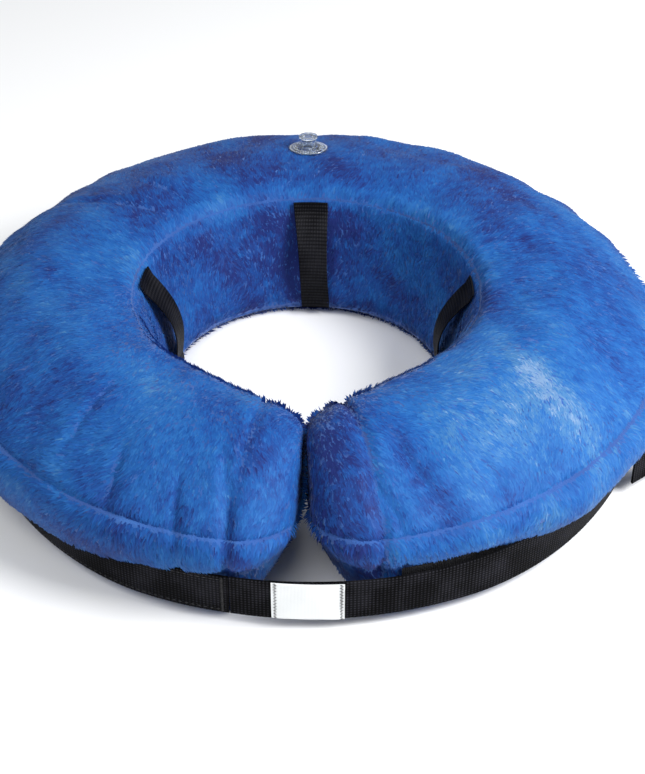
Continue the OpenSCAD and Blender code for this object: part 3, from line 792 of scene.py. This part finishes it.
def round_stitches(name, turns, up, radius, length, centre=(0, 0)):
    """Stitches of one length along a circle at given angles and heights, lying on its outer face.

    Each is an eight-faced grain stretched from its start point to its end point."""
    turns, up = np.broadcast_arrays(np.radians(turns), up)
    run = (turns * radius)[:, None] + [-length / 2, length / 2]
    flat = np.stack([np.zeros_like(run), run, np.broadcast_to(up[:, None], run.shape)], 2)
    starts, ends = round_ring(flat, radius, 0, centre).swapaxes(0, 1)
    out = np.stack([np.cos(turns), np.sin(turns), np.zeros(len(turns))], 1) * stitch_half_h
    middle = (starts + ends) / 2
    side = np.cross(out, unit(ends - starts)) * stitch_half_w / stitch_half_h
    points = np.stack([starts, middle + side, middle + out, middle - side, middle - out, ends], 1)
    first = np.arange(len(starts))[:, None] * 6
    faces = [first + list(f) for f in ((0, 1, 2), (0, 2, 3), (0, 3, 4), (0, 4, 1),
                                      (5, 2, 1), (5, 3, 2), (5, 4, 3), (5, 1, 4))]
    return save_mesh(name, [thread], points.reshape(-1, 3), faces)


stitch_pitch, stitch_len, from_edge = 3.4, 2.7, 2.4
turns = np.arange(sewn_from + 0.6, sewn_to - 1.2, math.degrees(stitch_pitch / wall_r))
for word, up in (("lower", webbing_low + from_edge), ("upper", webbing_high - from_edge)):
    piece = round_stitches(f"webbing_stitches_{word}", turns, up, wall_r + webbing_t + 0.05, stitch_len)
    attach(piece, "left_arm")
bar = np.linspace(webbing_low + 1.5, webbing_high - 1.5, 26)
piece = round_stitches("last_stitch_bar", np.full(26, sewn_to - 1.1), bar, wall_r + webbing_t + 0.1, 2.6)
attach(piece, "left_arm")

# ---------- Label
# A white woven satin label, folded under at its ends and sewn to the strap over the front gap with a
# black bar of stitches at each end. It is blank.
label_mid, label_w, label_h, label_t, label_skew, label_bar = 270.6, 37, 24, 0.5, -0.7, 1.9
satin = woven_material("label_satin", (0.80, 0.82, 0.82), (0.9, 0.91, 0.92), 0.7, 0.5, 0.4, 0.0001)
label_low = centre_up - label_h / 2
label_r = strap_r + webbing_t + 0.1
run = bent_run(label_w, 0.5)
across = np.linspace(0, label_h, 40)
fold = np.exp(-((run[:, None] - [1.6, label_w - 1.6]) / 0.9) ** 2).sum(1)
rings = []
for x, ridge in zip(run, fold):
    ripple = 0.10 * np.sin(x / 4.1 + across / 7) + 0.07 * np.sin(x / 2.3 - across / 3) - 0.16 * ridge
    rings.append(band_ring(across, label_t, ripple + 0.12))
flat = lay_flat(np.stack(rings), run, label_low + (run / label_w - 0.5)[:, None] * label_skew)
label_start = own_angle(label_mid) - math.degrees(label_w / 2 / strap_r)
label = loft("blank_label", satin, round_ring(flat, label_r, label_start, strap_centre), run)
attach(label, "strap")
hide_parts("label")
bars = np.linspace(label_low + 0.4, label_low + label_h - 0.4, 24)
for word, along_label in (("start", label_bar), ("end", label_w - label_bar)):
    turn = label_start + math.degrees(along_label / strap_r)
    zigzag = turn + math.degrees(0.22 / strap_r) * (-1) ** np.arange(24)
    bars_up = bars + (along_label / label_w - 0.5) * label_skew
    piece = round_stitches(f"label_stitches_{word}", zigzag, bars_up, label_r + label_t + 0.1, 1.9,
                           strap_centre)
    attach(piece, "strap")

# ---------- Hook tape
# A strip of black nylon hook tape sewn inside the strap's last stretch. Its ground is a plain weave set
# with rows of short stiff hooks that bend over at the tip.
tape_t, hook_from, hook_w = 1.1, 302, 22
hook_start = own_angle(hook_from)
hook_low = centre_up - hook_w / 2
hook_run = math.radians(own_angle(strap_to) - 1 - hook_start) * (strap_r - tape_t)
nylon = woven_material("hook_ground", (0.006, 0.006, 0.007), (0.03, 0.03, 0.034), 1.0, 1.0, 0.6)
ground_t = 0.5
run = bent_run(hook_run, 2)
flat = band_grid(run, hook_low, hook_low + hook_w, ground_t, count=18)
hook_r = strap_r - 0.1 - ground_t
tape = loft("hook_tape_ground", nylon, round_ring(flat, hook_r, hook_start, strap_centre), run)
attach(tape, "strap")
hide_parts("hook_tape")
hook_pitch, hook_row = 1.8, 1.6
hook_x, hook_z = np.meshgrid(np.arange(1.5, hook_run - 1, hook_pitch), np.arange(1.2, hook_w - 0.8, hook_row))
hook_x = (hook_x + (hook_z // hook_row % 2) * hook_pitch / 2).reshape(-1, 1, 1)
hook_z = hook_z.reshape(-1, 1, 1)
# Each hook is a square wire through four stations, given as (out, along)
stations = np.array([(0, 0), (-0.42, 0.02), (-0.56, 0.22), (-0.46, 0.42)])[:, None]
corner = np.array([(-1, -1), (1, -1), (1, 1), (-1, 1)]) * 0.09
flat = np.stack(np.broadcast_arrays(stations[:, :, 0], hook_x + stations[:, :, 1] + corner[:, 0],
                                    hook_z + hook_low + corner[:, 1]), -1).reshape(-1, 16, 3)
points = round_ring(flat, hook_r, hook_start, strap_centre).reshape(-1, 3)
sides = [(a + c, a + (c + 1) % 4, a + 4 + (c + 1) % 4, a + 4 + c) for a in (0, 4, 8) for c in range(4)]
quads = np.arange(len(flat))[:, None, None] * 16 + (sides + [(12, 13, 14, 15), (3, 2, 1, 0)])
piece = save_mesh("hook_tape_hooks", [nylon], points, quads.reshape(-1, 4), smooth=False)
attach(piece, "strap")

# ---------- Loop tape
# Two lengths of black brushed loop tape sewn to the right arm, the second set a little higher. Their
# fuzz is a mat of fine nylon loops, which frays along the upper edge.
fuzz_cloth = shaded("loop_tape_fuzz", Roughness=0.75, Base_Color=(0.008, 0.008, 0.009, 1))
loop_low, loop_high, fuzz_foot, fuzz_half = 7, 34, 0.6, 0.16
for word, start, end, lift in (("front", 284, 304, 0), ("side", 305, 348, 1.6)):
    run = bent_run(math.radians(end - start) * wall_r, 1.5)
    flat = band_grid(run, loop_low + lift, loop_high + lift, 0.7, count=24)
    piece = loft(f"loop_tape_{word}_ground", nylon, round_ring(flat, wall_r, start), run)
    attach(piece, "right_arm")
    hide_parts(f"loop_tape_{word}")
    draw = np.random.default_rng(60 + start)
    count = int(run[-1] * 45)
    x, z = draw.uniform(0, run[-1], count), draw.uniform(0.3, loop_high - loop_low + 0.4, count)
    grow = draw.normal(0, 0.8, (count, 2))
    rise = draw.uniform(0.15, 0.4, count)
    foot_out = np.full(count, fuzz_foot)
    flat = np.array([(foot_out, x - fuzz_half, z), (foot_out, x + fuzz_half, z),
                     (0.7 + rise, x + grow[:, 0], z + grow[:, 1] + 0.3)]).transpose(2, 0, 1)
    flat[:, :, 2] += loop_low + lift
    points = round_ring(flat, wall_r, start).reshape(-1, 3)
    tufts = np.arange(count)[:, None] * 3 + [0, 1, 2]
    piece = save_mesh(f"loop_tape_{word}_fuzz", [fuzz_cloth], points, tufts, smooth=False)
    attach(piece, "right_arm")

# ---------- Collar loops
# Three loops of black ribbed elastic 18 mm wide, sewn into the rim and neck seams of the hole, through
# which the animal's own collar is threaded. They bow off the wall and slant a little.
elastic = woven_material("elastic_weave", (0.003, 0.003, 0.004), (0.022, 0.022, 0.026), 2.2, 0.9, 0.42)
loop_w, loop_t, loop_gap, inner_crown, loop_hold, loop_end = 18, 1.2, 6, 3, 0.1, 0.02
wall_way = rim - neck
wall_out = np.array([-wall_way[1], wall_way[0]]) / np.hypot(*wall_way)
loop_rows = np.linspace(loop_end, 1 - loop_end, 110)
free_share = np.clip((loop_rows - loop_hold) / (1 - 2 * loop_hold), 0, 1)
bow = np.sin(np.pi * free_share)
off_wall = 4 * inner_crown * loop_rows * (1 - loop_rows) + 0.2 + loop_gap * bow
loop_line = neck + wall_way * loop_rows[:, None] + wall_out * off_wall[:, None]
loop_up = unit(np.gradient(loop_line, axis=0))
loop_out = np.stack([-loop_up[:, 1], loop_up[:, 0]], 1)
loop_across = np.linspace(0, loop_w, 46)
ribs = 0.07 * np.cos(2 * np.pi * loop_across / 1.5)
ring = band_ring(loop_across, loop_t - 0.15, ribs)
for word, at_foot, at_rim in (("back", 86.5, 89), ("left", 170, 173.5), ("right", 6, 0.5)):
    turn = np.radians(at_foot + (at_rim - at_foot) * loop_rows)[:, None]
    spot = loop_line[:, None] + loop_out[:, None] * ring[None, :, :1]
    turn = turn + (ring[None, :, 1] - loop_w / 2) / neck[0]
    radius = spot[:, :, 0]
    rings = np.stack([radius * np.cos(turn), radius * np.sin(turn), spot[:, :, 1]], 2)
    run = loop_rows * np.hypot(*wall_way)
    piece = loft(f"elastic_loop_{word}", elastic, rings, run, turned=True)
    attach(piece, "back" if word == "back" else f"{word}_arm")
    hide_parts(f"collar_loop_{word}")

# ---------- Valve
# An inflation valve of clear soft vinyl: a flange welded to the bladder's throat, a raised cup that the
# stem sinks into, and a cap on a tether. Rings of weld dots hold the flange's rim and the cup's foot.
def dress(material, *parts):
    """Gives the CAD's own pieces a material."""
    for part in parts:
        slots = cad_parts[part].data.materials
        slots.clear()
        slots.append(material)


vinyl = shaded("clear_vinyl", Base_Color=(0.86, 0.92, 0.98, 1), Transmission_Weight=0.96, IOR=1.3,
               Coat_Weight=0.4)
uneven_gloss(vinyl, clouds(vinyl, Scale=320, Detail=4), 0.02, 0.14)
dress(vinyl, "valve_flange", "valve_stem", "valve_flap", "valve_cap")
eyelet_dark, eyelet_light = (0.01, 0.03, 0.1), (0.03, 0.09, 0.3)
eyelet_cloth = woven_material("eyelet_binding", eyelet_dark, eyelet_light, 0.9, 0.9, 0.6, space="Object")
dress(eyelet_cloth, "valve_eyelet")
welded = shaded("welded_vinyl", Base_Color=(0.85, 0.9, 0.97, 1), Roughness=0.2, Coat_Weight=0.5)
valve_tilt = math.atan2(rim[1] - brim[1], brim[0] - rim[0])
valve_up = np.array([0, math.sin(valve_tilt), math.cos(valve_tilt)])
valve_back = np.array([0, math.cos(valve_tilt), -math.sin(valve_tilt)])


def on_valve(points):
    """Points given across, back and up from the valve's seat, in the ring's frame."""
    side = np.array([1, 0, 0])
    return valve_seat + points[..., :1] * side + points[..., 1:2] * valve_back + points[..., 2:] * valve_up


def ring_of_beads(name, count, radius, level, length, height, body):
    """Low oval beads round a circle, each a four-sided dome with its long side along the circle."""
    turn = np.linspace(0, 2 * np.pi, count, endpoint=False)[:, None]
    half = length / 2 / radius
    wide = 0.45
    offsets = np.array([(0, -half, 0), (wide, 0, 0), (0, half, 0), (-wide, 0, 0), (0, 0, height)])
    r, a = radius + offsets[:, 0], turn + offsets[:, 1]
    up = np.broadcast_to(level + offsets[:, 2], a.shape)
    points = on_valve(np.stack([r * np.cos(a), r * np.sin(a), up], 2))
    first = np.arange(count)[:, None] * 5
    faces = [first + list(f) for f in ((0, 1, 4), (1, 2, 4), (2, 3, 4), (3, 0, 4), (0, 3, 2), (0, 2, 1))]
    piece = save_mesh(name, [welded], points.reshape(-1, 3), faces)
    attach(piece, body)


ring_of_beads("flange_weld_dots", 44, 11.8, 0.72, 1.1, 0.28, "back")
ring_of_beads("cup_weld_dots", 36, 9.6, 1.08, 0.9, 0.2, "back")


def wire_rings(line, beside, thick, spokes):
    """Round rings of a wire along a line; beside is any direction field that is never along the line."""
    ahead = unit(np.gradient(line, axis=0))
    first = unit(np.cross(ahead, beside))
    second = np.cross(ahead, first)
    spoke = np.linspace(0, 2 * np.pi, spokes, endpoint=False)
    rim_way = first[:, None] * np.cos(spoke)[:, None] + second[:, None] * np.sin(spoke)[:, None]
    return line[:, None] + thick / 2 * rim_way


# The cap's tether is a soft loop from the stem's side. Its far part lies on the cover and stays there
# when the stem is pushed in
stem_radius, tether_radius, tether_thick, tether_root = 5.2, 4.6, 1.2, 5.6
tether_lean, tether_way, tether_half = math.radians(24), math.radians(-60), math.radians(102.5)
t = np.linspace(-tether_half, tether_half, 44)
outwards = stem_radius + tether_radius + tether_radius * np.cos(t) * math.cos(tether_lean)
sideways = tether_radius * np.sin(t)
upwards = tether_root - tether_thick / 2 - tether_radius * math.sin(tether_lean) * (1 + np.cos(t))
line = np.stack([outwards * math.cos(tether_way) - sideways * math.sin(tether_way),
                 outwards * math.sin(tether_way) + sideways * math.cos(tether_way), upwards], 1)
rings = wire_rings(on_valve(line), np.broadcast_to(valve_up, line.shape), tether_thick, 10)
tether = loft("cap_tether_loop", vinyl, rings, t, turned=True)
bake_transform(tether)
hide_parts("cap_tether")

# ---------- Zip
# The opening for the bladder, at the back behind the valve: a nylon coil zip on woven tapes, dyed to
# the plush, with a plated slider, puller and end stops.
tape_dark, tape_light = (0.006, 0.035, 0.17), (0.03, 0.12, 0.42)
zip_cloth = woven_material("zip_tape_weave", tape_dark, tape_light, 1.2, 0.9, 0.65, space="Object")
dress(zip_cloth, "zip_tape_upper", "zip_tape_lower")
plated = shaded("zip_plating", Base_Color=(0.55, 0.56, 0.58, 1), Metallic=1)
uneven_gloss(plated, clouds(plated, Scale=500, Detail=6, Roughness=0.7), 0.12, 0.45)
dress(plated, "zip_slider", "zip_puller", "zip_stop_start", "zip_stop_end")
nylon_coil = shaded("zip_coil_nylon", Base_Color=(0.02, 0.085, 0.34, 1))
uneven_gloss(nylon_coil, clouds(nylon_coil, Scale=300, Detail=3), 0.2, 0.45)
zip_half, zip_z, coil_d, coil_pitch, wire = 34, 18, 2.2, 1.6, 0.3
coil_middle = wall_r + 0.8 + coil_d / 2
turn_r = coil_d / 2 - wire - 0.05
zip_sweep = math.radians(2 * zip_half - 2)
turns = int(zip_sweep * coil_middle / coil_pitch)
t = np.linspace(0, turns, turns * 8 + 1)
a = math.radians(91 - zip_half) + t / turns * zip_sweep
along_tape = np.stack([-np.sin(a), np.cos(a), np.zeros(len(a))], 1)
for word, side in (("upper", 1), ("lower", -1)):
    spin = 2 * np.pi * (t + (0.5 if side < 0 else 0))
    r = coil_middle + turn_r * np.cos(spin)
    up = zip_z + side * (coil_d / 2 + 0.15) + turn_r * np.sin(spin)
    line = np.stack([r * np.cos(a), r * np.sin(a), up], 1)
    rings = wire_rings(line, along_tape, 2 * wire, 6)
    piece = loft(f"zip_coil_{word}_wound", nylon_coil, rings, t, turned=True)
    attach(piece, "back")
    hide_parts(f"zip_coil_{word}")
